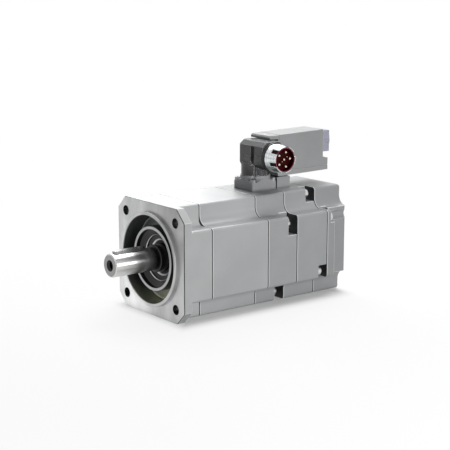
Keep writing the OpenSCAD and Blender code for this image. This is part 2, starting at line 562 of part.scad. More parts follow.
// outline of the box seen from the side, in Y and Z
module ebox_shell(x, d) xpoly(-x, x, [[bx_y0 + d, bx_zs + (d > 0 ? -1 : 0)],
  [bx_y1 + 9.4 - d, bx_zs + (d > 0 ? -1 : 0)], [bx_y1 + 9.4 - d, cap_z0 - 8.6 - d],
  [bx_y1 - d, cap_z0 - 8.6 - d], [bx_y1 - d, bx_zt + 2.2 - d], [bx_y0 + d, bx_zt + 0.5 - d]]);
module encoder_box() color([0.6, 0.61, 0.62]) difference() {
  ebox_shell(bx_x, 0);
  difference() {
    ebox_shell(bx_x - 2.4, 2.4);
    box([-bx_x, bx_y1 - 6, cap_z0 + 6], [bx_x, bx_y1 + 2, cap_z1 - 5]);
  }
  box([-bx_x + 2.4, bx_y0 - 1, bx_zs - 1], [bx_x - 2.4, bx_y0 + 3, bx_zt - 2]);
  box([-8 - fix_c, bx_y1 - 7, cap_z0 + 8.4], [8 + fix_c, bx_y1 + 2, cap_z0 + 22.4]);
}
module encoder_box_front() color([0.6, 0.61, 0.62]) union() {
  xpoly(-bx_x, bx_x, [[bx_y0 - 2.2, bx_zs], [bx_y0 - 0.4, bx_zs],
    [bx_y0 - 0.4, bx_zt + 0.4], [bx_y0 - 15.2, bx_zt + 0.1], [bx_y0 - 17.4, bx_zt - 2.4],
    [bx_y0 - 17.4, vis_z], [bx_y0 - 2.2, vis_z]]);
  box([-bx_x + 2.4 + fix_c, bx_y0 - 1, bx_zs + 4], [bx_x - 2.4 - fix_c, bx_y0 + 2.4, bx_zt - 2 - fix_c]);
}
module encoder_box_floor() color([0.6, 0.61, 0.62]) difference() {
  union() {
  xpoly(-bx_x, bx_x, [[bx_y0 - 2, bx_z0], [bx_y0 + eb_len, bx_z0], [bx_y1 + 9.4, bx_z0 + 1],
    [bx_y1 + 9.4, bx_zs - 0.5], [bx_y0 - 2, bx_zs - 0.5]]);
  xpoly(-bx_x + 0.6, bx_x - 0.6, [[bx_y0 - 1.6, bx_zs - 1], [bx_y1 + 8.8, bx_zs - 1],
    [bx_y1 + 8.8, bx_zs], [bx_y0 - 1.6, bx_zs]]);
  }
  translate([0, eb_y0 + 12, bx_z0 - 1]) cylinder(r = 6, h = 40, $fn = 48);
  xpoly(-bx_x + 2.4, bx_x - 2.4, [[bx_y0 + eb_len - 2, bx_z0 + 3.4], [bx_y1 + 7, bx_z0 + 3.4],
    [bx_y1 + 7, bx_zs + 1], [bx_y0 + eb_len - 2, bx_zs + 1]]);
  for (i = [-1, 1]) translate([i*14, eb_y0 + 18, bx_z0 - 1]) cylinder(r = 4.4, h = 5, $fn = 32);
}
module encoder_board() color([0.1, 0.35, 0.2]) union() {
  bz = cap_z0 + 8.4 + fix_c;
  box([-bx_x + 2.4 + fix_c, bx_y0 + 6, bz - 1.6], [bx_x - 2.4 - fix_c, bx_y1 - 8, bz]);
  box([-9, bx_y0 + 18, bz - 0.1], [9, bx_y0 + 36, bz + 2.4]);
  box([6, bx_y0 + 42, bz - 0.1], [14, bx_y0 + 52, bz + 3.4]);
}
module encoder_socket() color([0.75, 0.76, 0.78]) difference() {
  box([-8, bx_y1 - 19, cap_z0 + 8.4 + fix_c], [8, bx_y1 + 0.2, cap_z0 + 22.4 - fix_c]);
  box([-6, bx_y1 - 16, cap_z0 + 11], [6, bx_y1 + 2, cap_z0 + 20]);
  box([-3, bx_y1 - 16, cap_z0 + 19], [3, bx_y1 + 2, cap_z0 + 21.4]);
}
cap_x = bx_x - 4;
module cap2d(d) polygon([[bx_y1 + 0.5 - d*4, cap_z0 + d], [bx_y1 + 15.4 - d, cap_z0 + d],
  [bx_y1 + 17.6 - d, cap_z0 + 4], [bx_y1 + 18.6 - d, cap_z0 + 15],
  [bx_y1 + 17.9 - d, cap_z0 + 27], [bx_y1 + 16 - d, cap_z1 - d], [bx_y1 + 0.5 - d*4, cap_z1 - d]]);
module dust_cap() color([0.75, 0.74, 0.84]) difference() {
  translate([-cap_x, 0, 0]) rotate([90, 0, 90]) linear_extrude(2*cap_x) cap2d(0);
  translate([-cap_x + 2.2, 0, 0]) rotate([90, 0, 90]) linear_extrude(2*cap_x - 4.4) cap2d(2.2);
  for (i = [-1, 1]) translate([i*cap_x, bx_y1 + 18, 0]) rotate([0, 0, 45])
    translate([-2.2, -2.2, 0]) cube([4.4, 4.4, 400]);
  // finger dimples
  for (i = [-1, 1]) translate([i*(cap_x + 4.6), bx_y1 + 9.5, cap_z0 + 15])
    sphere(r = 6, $fn = 48);
}

front_shield();
front_gasket();
stator_housing();
middle_gasket();
rear_shield();
rear_gasket();
brake_housing();
cover_gasket();
rear_cover();
shaft_seal();
front_bearing_outer();
front_bearing_inner();
front_bearing_balls();
front_bearing_cage();
rear_bearing_outer();
rear_bearing_inner();
rear_bearing_balls();
rear_bearing_cage();
bearing_cap();
wave_spring();
stator_core();
stator_windings();
rotor_core();
rotor_magnets();
balance_discs();
shaft();
shaft_key();
shaft_circlip();
brake_magnet();
brake_coil();
brake_armature();
brake_hub();
brake_screws();
encoder_hub();
encoder_disc();
encoder_body();
encoder_torque_arm();
tie_bolts();
brake_bolts();
cover_bolts();
power_foot();
power_foot_screws();
power_head();
swivel_ring();
head_seal();
locking_ring();
power_insert();
power_pins();
power_leads();
encoder_foot();
encoder_foot_screws();
encoder_box();
encoder_box_front();
encoder_box_floor();
encoder_board();
encoder_socket();
dust_cap();
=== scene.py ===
import json
import math

import bmesh
import bpy
from mathutils import Matrix, Vector
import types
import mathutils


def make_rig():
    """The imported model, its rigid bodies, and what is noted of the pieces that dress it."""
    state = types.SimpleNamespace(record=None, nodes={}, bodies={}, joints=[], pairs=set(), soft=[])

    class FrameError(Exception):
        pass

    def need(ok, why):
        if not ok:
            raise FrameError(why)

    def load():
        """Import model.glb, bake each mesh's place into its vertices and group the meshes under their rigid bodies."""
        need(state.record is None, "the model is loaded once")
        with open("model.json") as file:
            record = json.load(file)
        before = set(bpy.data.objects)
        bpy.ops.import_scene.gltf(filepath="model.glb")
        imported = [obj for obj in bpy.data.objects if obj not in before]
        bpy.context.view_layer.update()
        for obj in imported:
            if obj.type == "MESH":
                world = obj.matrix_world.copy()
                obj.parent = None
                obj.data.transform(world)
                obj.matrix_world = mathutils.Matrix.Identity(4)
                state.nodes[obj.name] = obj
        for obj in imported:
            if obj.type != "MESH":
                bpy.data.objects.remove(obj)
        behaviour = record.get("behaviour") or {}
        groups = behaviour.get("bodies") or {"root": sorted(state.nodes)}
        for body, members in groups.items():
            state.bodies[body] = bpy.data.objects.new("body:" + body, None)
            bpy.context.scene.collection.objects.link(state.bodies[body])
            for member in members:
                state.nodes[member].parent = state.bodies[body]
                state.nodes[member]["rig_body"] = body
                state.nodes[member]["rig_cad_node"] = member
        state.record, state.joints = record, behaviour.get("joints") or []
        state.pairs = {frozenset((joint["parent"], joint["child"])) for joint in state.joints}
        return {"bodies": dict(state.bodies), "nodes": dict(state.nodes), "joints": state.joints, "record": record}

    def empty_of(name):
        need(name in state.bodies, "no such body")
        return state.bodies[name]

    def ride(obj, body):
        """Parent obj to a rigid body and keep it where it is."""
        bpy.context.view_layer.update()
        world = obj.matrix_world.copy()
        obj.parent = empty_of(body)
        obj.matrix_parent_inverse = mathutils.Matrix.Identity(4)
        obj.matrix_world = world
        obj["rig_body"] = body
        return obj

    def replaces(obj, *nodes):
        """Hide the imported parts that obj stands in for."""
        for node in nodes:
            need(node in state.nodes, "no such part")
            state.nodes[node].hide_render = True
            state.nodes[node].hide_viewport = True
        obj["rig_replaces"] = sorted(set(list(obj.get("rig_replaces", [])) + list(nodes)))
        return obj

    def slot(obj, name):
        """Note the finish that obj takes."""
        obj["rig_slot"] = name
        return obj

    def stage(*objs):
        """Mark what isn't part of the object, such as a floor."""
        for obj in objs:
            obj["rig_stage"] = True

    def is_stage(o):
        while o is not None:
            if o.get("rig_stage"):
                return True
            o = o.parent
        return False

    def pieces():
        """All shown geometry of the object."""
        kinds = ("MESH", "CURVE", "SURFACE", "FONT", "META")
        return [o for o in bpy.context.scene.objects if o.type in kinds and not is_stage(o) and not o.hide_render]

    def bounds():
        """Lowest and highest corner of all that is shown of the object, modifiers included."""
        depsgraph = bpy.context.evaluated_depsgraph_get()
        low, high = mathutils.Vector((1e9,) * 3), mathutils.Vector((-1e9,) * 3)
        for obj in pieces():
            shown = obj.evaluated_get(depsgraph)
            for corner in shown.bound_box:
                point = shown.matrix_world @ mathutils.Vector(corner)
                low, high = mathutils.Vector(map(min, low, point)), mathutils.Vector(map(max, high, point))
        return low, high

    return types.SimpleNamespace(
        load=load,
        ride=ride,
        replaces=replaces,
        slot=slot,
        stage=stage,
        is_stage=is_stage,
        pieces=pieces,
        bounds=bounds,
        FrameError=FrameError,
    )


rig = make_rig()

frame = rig.load()
CAD_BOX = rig.bounds()
MM = 0.001


# ---- Camera and studio --------------------------------------------------------
# The camera stands right of the shaft end, a little above the motor, with a long
# lens. The motor stands on a pale table under large soft lamps that all hang behind
# its front faces, so the tops are bright, the right side is even and the front dark.
AZIMUTH = math.radians(52.365)
ELEVATION = math.radians(11.707)
CAMERA_PLACE = (1.3461, -0.9109, 0.3830)
LENS = 98.86
cam_right = Vector((math.cos(AZIMUTH), math.sin(AZIMUTH), 0))
cam_back = Vector((math.sin(AZIMUTH) * math.cos(ELEVATION),
                   -math.cos(AZIMUTH) * math.cos(ELEVATION), math.sin(ELEVATION)))
cam_up = cam_back.cross(cam_right)
camera = bpy.data.objects.new("camera", bpy.data.cameras.new("camera"))
camera.data.sensor_width = 36
camera.data.lens = LENS
camera.data.clip_start = 0.05
camera.data.clip_end = 20
turn = Matrix((cam_right, cam_up, cam_back)).transposed()
camera.matrix_world = Matrix.Translation(CAMERA_PLACE) @ turn.to_4x4()
bpy.context.scene.collection.objects.link(camera)
bpy.context.scene.camera = camera
bpy.context.scene.view_settings.view_transform = "Standard"


def add_lamp(name, place, target, power, width, height=None):
    """A soft box at place, aimed at target, that the camera itself doesn't see."""
    lamp = bpy.data.lights.new(name, "AREA")
    lamp.shape = "RECTANGLE"
    lamp.size = width
    lamp.size_y = height or width
    lamp.energy = power
    made = bpy.data.objects.new(name, lamp)
    made.location = place
    aim = Vector(target) - Vector(place)
    made.rotation_mode = "QUATERNION"
    made.rotation_quaternion = aim.to_track_quat("-Z", "Y")
    made.visible_camera = False
    bpy.context.scene.collection.objects.link(made)
    return made


add_lamp("lamp_key", (-0.60, 0.60, 1.05), (0.0, 0.12, 0.07), 14.2, 0.9)
add_lamp("lamp_left", (-1.05, 0.45, 0.70), (0.0, 0.12, 0.07), 6.2, 0.8)
add_lamp("lamp_top", (0.0, 0.45, 1.15), (0.0, 0.16, 0.05), 6.5, 0.6)
add_lamp("lamp_side", (1.70, 0.50, 0.20), (0.08, 0.12, 0.02), 6.5, 0.9, 0.6)
lamp_right = add_lamp("lamp_right", (1.10, 0.03, 0.06), (0.08, 0.10, 0.0), 8.8, 0.5, 0.4)
# polished metal doesn't mirror this one, so that its highlights stay in clean lines
lamp_right.visible_glossy = False


def new_material(name):
    """A material with its node tree emptied, and its output node."""
    made = bpy.data.materials.new(name)
    made.use_nodes = True
    made.node_tree.nodes.clear()
    return made, made.node_tree, made.node_tree.nodes.new("ShaderNodeOutputMaterial")


def feed(tree, socket, value):
    """Links value to an input if it is a socket, or sets the input to its number or colour."""
    if isinstance(value, bpy.types.NodeSocket):
        tree.links.new(value, socket)
    elif socket.type == "RGBA":
        socket.default_value = (*value, 1)
    else:
        socket.default_value = value


def math_node(tree, operation, a, b=0.0, c=0.0, clamp=False):
    node = tree.nodes.new("ShaderNodeMath")
    node.operation = operation
    node.use_clamp = clamp
    for socket, value in zip(node.inputs, (a, b, c)):
        feed(tree, socket, value)
    return node.outputs[0]


def remap(tree, value, low, high, to_low=0.0, to_high=1.0):
    """The value carried from low and high to to_low and to_high, held and softened there."""
    node = tree.nodes.new("ShaderNodeMapRange")
    node.interpolation_type = "SMOOTHSTEP"
    for label, number in (("Value", value), ("From Min", low), ("From Max", high),
                          ("To Min", to_low), ("To Max", to_high)):
        feed(tree, node.inputs[label], number)
    return node.outputs[0]


def object_place(tree):
    return tree.nodes.new("ShaderNodeTexCoord").outputs["Object"]


def parts_of(tree, vector):
    """The X, Y and Z of a vector."""
    node = tree.nodes.new("ShaderNodeSeparateXYZ")
    tree.links.new(vector, node.inputs[0])
    return node.outputs["X"], node.outputs["Y"], node.outputs["Z"]


def plain_shader(tree, kind, colour, strength=1.0):
    """A Background, Emission or Diffuse shader of one colour."""
    node = tree.nodes.new("ShaderNode" + kind)
    feed(tree, node.inputs["Color"], colour)
    if "Strength" in node.inputs:
        node.inputs["Strength"].default_value = strength
    return node.outputs[0]


def mix_shaders(tree, amount, a, b):
    node = tree.nodes.new("ShaderNodeMixShader")
    for socket, value in zip(node.inputs, (amount, a, b)):
        feed(tree, socket, value)
    return node.outputs[0]


# what polished metal sees, from straight down (0) to straight up (1): white walls with
# three darker gaps between the lamps, as (height, grey)
WALLS = ((0.0, 0.9), (0.50, 0.9), (0.512, 0.85), (0.52, 0.05), (0.535, 0.05), (0.545, 1.0),
         (0.69, 1.0), (0.70, 0.15), (0.715, 0.15), (0.725, 1.0),
         (0.845, 1.0), (0.855, 0.2), (0.868, 0.2), (0.878, 1.0), (1.0, 1.0))
FILL_COLOUR = (0.80, 0.83, 0.88)
FILL_STRENGTH = 0.03
WHITE = (1, 1, 1)

world = bpy.data.worlds.new("studio")
bpy.context.scene.world = world
world.use_nodes = True
tree = world.node_tree
tree.nodes.clear()
facing = tree.nodes.new("ShaderNodeTexCoord").outputs["Generated"]
upwards = parts_of(tree, facing)[2]
walls = tree.nodes.new("ShaderNodeValToRGB")
ramp = walls.color_ramp
ramp.interpolation = "EASE"
while len(ramp.elements) > 1:
    ramp.elements.remove(ramp.elements[-1])
for number, (height, grey) in enumerate(WALLS):
    stop = ramp.elements.new(height) if number else ramp.elements[0]
    stop.position = height
    stop.color = (grey, grey, grey, 1)
feed(tree, walls.inputs[0], math_node(tree, "MULTIPLY_ADD", upwards, 0.5, 0.5))
path = tree.nodes.new("ShaderNodeLightPath")
fill = plain_shader(tree, "Background", FILL_COLOUR, FILL_STRENGTH)
mirrored = plain_shader(tree, "Background", walls.outputs[0])
backdrop = plain_shader(tree, "Background", WHITE)
lit = mix_shaders(tree, path.outputs["Is Glossy Ray"], fill, mirrored)
seen_plain = math_node(tree, "MAXIMUM", path.outputs["Is Camera Ray"],
                       path.outputs["Is Transmission Ray"])
world_out = tree.nodes.new("ShaderNodeOutputWorld")
tree.links.new(mix_shaders(tree, seen_plain, lit, backdrop), world_out.inputs[0])

# the table is nearly white where it is seen, keeps the motor's shadow, and throws
# little light back. Its places are in metres from the middle of the flange.
TABLE_SIZE = 14
TABLE_GAP = 0.2 * MM
FAR_AWAY = (0.3, 0.9)
NEAR_GLOW = 0.86
SHADE_ACROSS = (0.055, 0.10)
SHADE_ALONG = (0.13, 0.17)
SHADE_MIDDLE = 0.15
SHADE_GLOW = 0.2
bpy.ops.object.select_all(action="DESELECT")
bpy.ops.mesh.primitive_plane_add(size=TABLE_SIZE, location=(0, 0, CAD_BOX[0][2] - TABLE_GAP))
table = bpy.context.object
table.name = "table_top"
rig.stage(table)
table_white, tree, out = new_material("table_white")
spot = object_place(tree)
across, along = parts_of(tree, spot)[:2]
away = tree.nodes.new("ShaderNodeVectorMath")
away.operation = "LENGTH"
tree.links.new(spot, away.inputs[0])
glow = remap(tree, away.outputs["Value"], *FAR_AWAY, NEAR_GLOW, 1.0)
# under the motor the glow is cut down to SHADE_GLOW: painted shadow over the table's own shade
beside = remap(tree, math_node(tree, "ABSOLUTE", across), *SHADE_ACROSS)
from_middle = math_node(tree, "ABSOLUTE", math_node(tree, "SUBTRACT", along, SHADE_MIDDLE))
beyond = remap(tree, from_middle, *SHADE_ALONG)
in_the_open = math_node(tree, "MAXIMUM", beside, beyond)
open_glow = math_node(tree, "MULTIPLY_ADD", in_the_open, 1.0 - SHADE_GLOW, SHADE_GLOW)
shown = mix_shaders(tree, math_node(tree, "MULTIPLY", glow, open_glow),
                    plain_shader(tree, "BsdfDiffuse", (0.82, 0.82, 0.82)),
                    plain_shader(tree, "Emission", WHITE))
path = tree.nodes.new("ShaderNodeLightPath")
mirrored_or_through = math_node(tree, "MAXIMUM", path.outputs["Is Glossy Ray"],
                                path.outputs["Is Transmission Ray"])
seen = math_node(tree, "MAXIMUM", path.outputs["Is Camera Ray"], mirrored_or_through)
dim = plain_shader(tree, "BsdfDiffuse", (0.03, 0.03, 0.03))
tree.links.new(mix_shaders(tree, seen, dim, shown), out.inputs[0])
table.data.materials.append(table_white)


# ---- Housing sections ---------------------------------------------------------
# Five aluminium castings with a cross-shaped outline, painted light grey, with
# thin dark seals between them. The paint is slightly textured and satin, and is
# painted a little paler along the outer edges, from rubbing and as painted highlight.
def new_group(name, inputs, outputs):
    """A shader node group with its inputs and their values, and the names of its outputs."""
    tree = bpy.data.node_groups.new(name, "ShaderNodeTree")
    for label, value in inputs.items():
        socket = tree.interface.new_socket(name=label, in_out="INPUT",
                                           socket_type="NodeSocketFloat")
        socket.default_value = value
    for label in outputs:
        tree.interface.new_socket(name=label, in_out="OUTPUT", socket_type="NodeSocketFloat")
    return tree, tree.nodes.new("NodeGroupInput"), tree.nodes.new("NodeGroupOutput")


def place_group(tree, group, **values):
    node = tree.nodes.new("ShaderNodeGroup")
    node.node_tree = group
    for label, value in values.items():
        feed(tree, node.inputs[label], value)
    return node


def noise(tree, vector, scale, detail=2.0, rough=0.5, stretch=None):
    """A noise texture on Object coordinates, stretched along its axes if asked."""
    if stretch:
        mapping = tree.nodes.new("ShaderNodeMapping")
        mapping.inputs["Scale"].default_value = stretch
        tree.links.new(vector, mapping.inputs["Vector"])
        vector = mapping.outputs[0]
    node = tree.nodes.new("ShaderNodeTexNoise")
    for label, value in (("Vector", vector), ("Scale", scale), ("Detail", detail),
                         ("Roughness", rough)):
        feed(tree, node.inputs[label], value)
    return node.outputs["Fac"]


def blend_colour(tree, amount, a, b, way="MIX"):
    """A colour mix of a and b, each a socket or three numbers."""
    node = tree.nodes.new("ShaderNodeMix")
    node.data_type = "RGBA"
    node.blend_type = way
    for socket, value in ((node.inputs[0], amount), (node.inputs[6], a), (node.inputs[7], b)):
        feed(tree, socket, value)
    return node.outputs[2]


def darken(tree, colour, shade):
    """The colour multiplied by shade, from 0 for black to 1 for no change."""
    return blend_colour(tree, 1.0, colour, shade, "MULTIPLY")


def principled(tree, output, **values):
    node = tree.nodes.new("ShaderNodeBsdfPrincipled")
    for label, value in values.items():
        feed(tree, node.inputs[label.replace("_", " ")], value)
    tree.links.new(node.outputs[0], output.inputs[0])
    return node


def bump(tree, height, strength, distance=0.0002):
    node = tree.nodes.new("ShaderNodeBump")
    node.inputs["Strength"].default_value = strength
    node.inputs["Distance"].default_value = distance
    tree.links.new(height, node.inputs["Height"])
    return node.outputs[0]


# a noise does most of its change between these values
NOISE_SPAN = (0.3, 0.7)

# edges that are painted paler, from rubbing and as painted highlight: how far the rounded
# edge leans from the flat faces beside it, with chips
WEAR_AND_HIGHLIGHT_WIDTH = 0.0008
edge_wear_and_highlight, group_in, group_out = new_group(
    "edge_wear_and_highlight", {"Width": WEAR_AND_HIGHLIGHT_WIDTH, "Chips": 260.0}, ["Mask"])
rounded_normal = edge_wear_and_highlight.nodes.new("ShaderNodeBevel")
rounded_normal.samples = 4
edge_wear_and_highlight.links.new(group_in.outputs["Width"], rounded_normal.inputs["Radius"])
face = edge_wear_and_highlight.nodes.new("ShaderNodeNewGeometry")
likeness = edge_wear_and_highlight.nodes.new("ShaderNodeVectorMath")
likeness.operation = "DOT_PRODUCT"
edge_wear_and_highlight.links.new(rounded_normal.outputs[0], likeness.inputs[0])
edge_wear_and_highlight.links.new(face.outputs["True Normal"], likeness.inputs[1])
lean = remap(edge_wear_and_highlight, likeness.outputs["Value"], 0.995, 0.86)
chips = noise(edge_wear_and_highlight, object_place(edge_wear_and_highlight), group_in.outputs["Chips"], 3.0, 0.6)
broken = remap(edge_wear_and_highlight, chips, 0.20, 0.55)
edge_wear_and_highlight.links.new(math_node(edge_wear_and_highlight, "MULTIPLY", lean, broken, clamp=True),
                    group_out.inputs["Mask"])

# sprayed paint: fine orange peel in the height, faint clouds in the shade
paint_skin, group_in, group_out = new_group(
    "paint_skin", {"Grain": 1500.0, "Clouds": 14.0}, ["Height", "Shade"])
spot = object_place(paint_skin)
paint_skin.links.new(noise(paint_skin, spot, group_in.outputs["Grain"], 2.0, 0.55),
                     group_out.inputs["Height"])
paint_skin.links.new(noise(paint_skin, spot, group_in.outputs["Clouds"], 4.0, 0.55),
                     group_out.inputs["Shade"])


def reach_along(node, axis):
    """Where a CAD node starts and ends along X (0), Y (1) or Z (2), in metres."""
    places = [corner.co[axis] for corner in frame["nodes"][node].data.vertices]
    return min(places), max(places)


GASKETS = ("front_gasket", "middle_gasket", "rear_gasket", "cover_gasket")
SEAMS = [sum(reach_along(node, 1)) / 2 for node in GASKETS]
SEAM_WIDTH = 0.0008
SEAM_BLUR = 0.0002
# a strip beside each seam is painted pale, a painted highlight on the rounded edge
HIGHLIGHT_LIP_PLACE = SEAM_WIDTH * 1.6
HIGHLIGHT_LIP_WIDTH = SEAM_WIDTH * 0.9
# the seams are painted dark: sealing compound and painted shade in the gap
SEAM_SEAL_AND_SHADE = (0.022, 0.022, 0.023)
CLOUD_SHADE = 0.9
# how dark the painted shade below a height gets
LOWEST_PAINTED_SHADE = 0.3
# how open a corner is where its painted shade is darkest and where there is none
CORNER_OPEN = (0.25, 0.85)


def seam_mask(tree, seams, width=SEAM_WIDTH):
    """1 within width of a seam, whose places along Y are given in metres."""
    along = parts_of(tree, object_place(tree))[1]
    total = None
    for seam in seams:
        off = math_node(tree, "ABSOLUTE", math_node(tree, "SUBTRACT", along, seam))
        near = remap(tree, off, width + SEAM_BLUR, width - SEAM_BLUR)
        total = near if total is None else math_node(tree, "MAXIMUM", total, near)
    return total


def rubbed_and_highlit_edges(tree):
    """How much paler the paint is painted, from rubbing and as painted highlight: 1 on the
    rounded edges, less on the faces beside them.
    """
    rounded = tree.nodes.new("ShaderNodeAttribute")
    rounded.attribute_name = "rounded_edge"
    near = place_group(tree, edge_wear_and_highlight, Width=WEAR_AND_HIGHLIGHT_WIDTH)
    return math_node(tree, "MAXIMUM", rounded.outputs["Fac"], near.outputs["Mask"])


def clouded(tree, colour, skin):
    """The paint's colour with the faint clouds of its skin."""
    return darken(tree, colour,
                  remap(tree, skin.outputs["Shade"], *NOISE_SPAN, CLOUD_SHADE, 1.0))


def painted(name, colour, worn_and_highlit, rough=0.42, grain=1500.0, peel=0.12, wear_and_highlight=0.35, clear=0.0,
            seams=(), corner_shade=0.0, reach=0.005, low_shade=(), shine=0.5):
    """Satin machine paint: clouds of shade, orange peel, and edges painted towards the paler
    colour, partly from rubbing and partly as painted highlight. The seams are painted dark,
    sealing compound and painted shade, beside a pale strip painted as highlight. The corner
    setting paints shade into the corners, as far out as reach, and the low setting paints
    shade below a height, from full to none between its two values."""
    made, tree, out = new_material(name)
    skin = place_group(tree, paint_skin, Grain=grain)
    base = clouded(tree, colour, skin)
    if corner_shade:
        corner = tree.nodes.new("ShaderNodeAmbientOcclusion")
        corner.samples = 6
        corner.inputs["Distance"].default_value = reach
        base = darken(tree, base,
                      remap(tree, corner.outputs["AO"], *CORNER_OPEN, 1.0 - corner_shade, 1.0))
    if low_shade:
        height = parts_of(tree, object_place(tree))[2]
        base = darken(tree, base, remap(tree, height, *low_shade, LOWEST_PAINTED_SHADE, 1.0))
    rubbed_and_highlit = math_node(tree, "MULTIPLY", rubbed_and_highlit_edges(tree), wear_and_highlight)
    base = blend_colour(tree, rubbed_and_highlit, base, worn_and_highlit)
    if seams:
        highlight_lip = seam_mask(tree, [seam + HIGHLIGHT_LIP_PLACE for seam in seams], HIGHLIGHT_LIP_WIDTH)
        base = blend_colour(tree, math_node(tree, "MULTIPLY", highlight_lip, wear_and_highlight / 2), base, worn_and_highlit)
        base = blend_colour(tree, seam_mask(tree, seams), base, SEAM_SEAL_AND_SHADE)
    gloss = remap(tree, skin.outputs["Shade"], 0.25, 0.75, rough + 0.05, rough - 0.05)
    principled(tree, out, Base_Color=base, Roughness=gloss, Coat_Weight=clear,
               Coat_Roughness=0.25, Specular_IOR_Level=shine,
               Normal=bump(tree, skin.outputs["Height"], peel))
    return made


# the same paint on every section, in copies painted a shade darker from the front to the
# rear as painted shade, where less light falls
# edges are painted towards this pale grey, from rubbing and as painted highlight
GREY_WORN_AND_HIGHLIT = (0.82, 0.82, 0.83)
paint_grey, paint_rear_shaded, paint_cover_shaded = (
    painted(name, colour, GREY_WORN_AND_HIGHLIT, rough=0.38, wear_and_highlight=0.8, clear=0.3, seams=SEAMS)
    for name, colour in (("paint_light_grey", (0.390, 0.396, 0.402)),
                         ("paint_rear_shaded_grey", (0.318, 0.324, 0.331)),
                         ("paint_cover_shaded_grey", (0.290, 0.296, 0.303))))


def only(obj):
    """Selects obj alone and makes it active."""
    bpy.ops.object.select_all(action="DESELECT")
    obj.select_set(True)
    bpy.context.view_layer.objects.active = obj


def finish_modifiers(obj):
    only(obj)
    for modifier in list(obj.modifiers):
        bpy.ops.object.modifier_apply(modifier=modifier.name)


def smooth(obj, degrees):
    only(obj)
    bpy.ops.object.shade_smooth_by_angle(angle=math.radians(degrees))


def give_finish(obj, material):
    """Gives the object this material and no other."""
    obj.data.materials.clear()
    obj.data.materials.append(material)


# edges over SHARP are rounded, faces within FLAT of each other become one
SHARP = math.radians(28)
FLAT = math.radians(0.4)
SAME_POINT = 0.004 * MM
SMOOTH_UP_TO = 46


def round_edges(obj, radius, keep, clamp):
    """Rounds the sharp outward edges whose middle, in mm, keep() accepts. clamp stops the
    rounding where two edges meet in less room than it needs."""
    weights = obj.data.attributes.new("bevel_weight_edge", "FLOAT", "EDGE")
    mesh = bmesh.new()
    mesh.from_mesh(obj.data)
    marked = [0.0] * len(mesh.edges)
    for edge in mesh.edges:
        if len(edge.link_faces) == 2 and edge.calc_face_angle_signed(0) > SHARP:
            middle = (edge.verts[0].co + edge.verts[1].co) * (0.5 / MM)
            marked[edge.index] = 1.0 if keep(*middle) else 0.0
    mesh.free()
    weights.data.foreach_set("value", marked)
    rounding = obj.modifiers.new("rounding", "BEVEL")
    rounding.width = radius * MM
    rounding.segments = 2
    rounding.limit_method = "WEIGHT"
    rounding.use_clamp_overlap = clamp
    rounding.miter_outer = "MITER_ARC"
    # the new faces come out on a second slot for a moment, and are marked for the paint
    obj.data.materials.clear()
    for slot in range(2):
        obj.data.materials.append(None)
    rounding.material = 1
    finish_modifiers(obj)
    on_edge = [0] * len(obj.data.polygons)
    obj.data.polygons.foreach_get("material_index", on_edge)
    mark = obj.data.attributes.new("rounded_edge", "FLOAT", "FACE")
    mark.data.foreach_set("value", [float(number) for number in on_edge])
    obj.data.polygons.foreach_set("material_index", [0] * len(on_edge))


def everywhere(x, y, z):
    return True


def cast_from(node, name, radius, material, slot, body, keep=everywhere, clamp=False):
    """A copy of a CAD node as one closed skin, its outward edges rounded by radius mm."""
    source = frame["nodes"][node]
    made = source.copy()
    made.data = source.data.copy()
    made.name = made.data.name = name
    made.parent = None
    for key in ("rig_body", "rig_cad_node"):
        if key in made:
            del made[key]
    bpy.context.scene.collection.objects.link(made)
    only(made)
    bpy.ops.mesh.customdata_custom_splitnormals_clear()
    bpy.ops.object.mode_set(mode="EDIT")
    bpy.ops.mesh.select_all(action="SELECT")
    bpy.ops.mesh.remove_doubles(threshold=SAME_POINT)
    bpy.ops.mesh.dissolve_limited(angle_limit=FLAT)
    bpy.ops.object.mode_set(mode="OBJECT")
    round_edges(made, radius, keep, clamp)
    smooth(made, SMOOTH_UP_TO)
    flats = made.modifiers.new("flat faces stay flat", "WEIGHTED_NORMAL")
    flats.weight = 100
    flats.keep_sharp = True
    finish_modifiers(made)
    give_finish(made, material)
    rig.replaces(made, node)
    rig.slot(made, slot)
    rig.ride(made, body)


def pinwheel(x, z):
    """Four places round the shaft axis, in mm, each a quarter turn from the last."""
    return [(x, z), (z, -x), (-x, -z), (-z, x)]


# axes of the long screws, and in mm what of a casting stays sharp: all that is near the
# shaft axis, and round the screws. The cover is also rounded behind COVER_BACK.
TIE = pinwheel(66, 37)
BRAKE = pinwheel(38.5, 69)
INNER_PARTS = 62.8
SCREW_HOLE = 9
COVER_BACK = 299
CASTING_EDGE = 0.7


def outer_edge(x, y, z):
    """True on the outside of a section and round its pockets, not at its screw holes."""
    if math.hypot(x, z) < INNER_PARTS:
        return False
    return min(math.hypot(x - px, z - pz) for px, pz in TIE + BRAKE) > SCREW_HOLE


for node, paint in (("stator_housing", paint_grey), ("rear_shield", paint_rear_shaded),
                    ("brake_housing", paint_rear_shaded)):
    cast_from(node, node + "_casting", CASTING_EDGE, paint, "paint_grey", "housing", outer_edge)
cast_from("rear_cover", "rear_cover_casting", CASTING_EDGE, paint_cover_shaded, "paint_grey",
          "housing", lambda x, y, z: outer_edge(x, y, z) or y > COVER_BACK)


def dress(material, *nodes):
    """Gives CAD nodes whose shape is right their finish."""
    for node in nodes:
        give_finish(frame["nodes"][node], material)


seal_black, tree, out = new_material("seal_rubber_sheet")
spot = object_place(tree)
principled(tree, out, Base_Color=blend_colour(tree, noise(tree, spot, 300.0, 3.0),
                                              (0.012, 0.012, 0.013), (0.03, 0.03, 0.031)),
           Roughness=0.62, Normal=bump(tree, noise(tree, spot, 2600.0), 0.25))
dress(seal_black, *GASKETS)


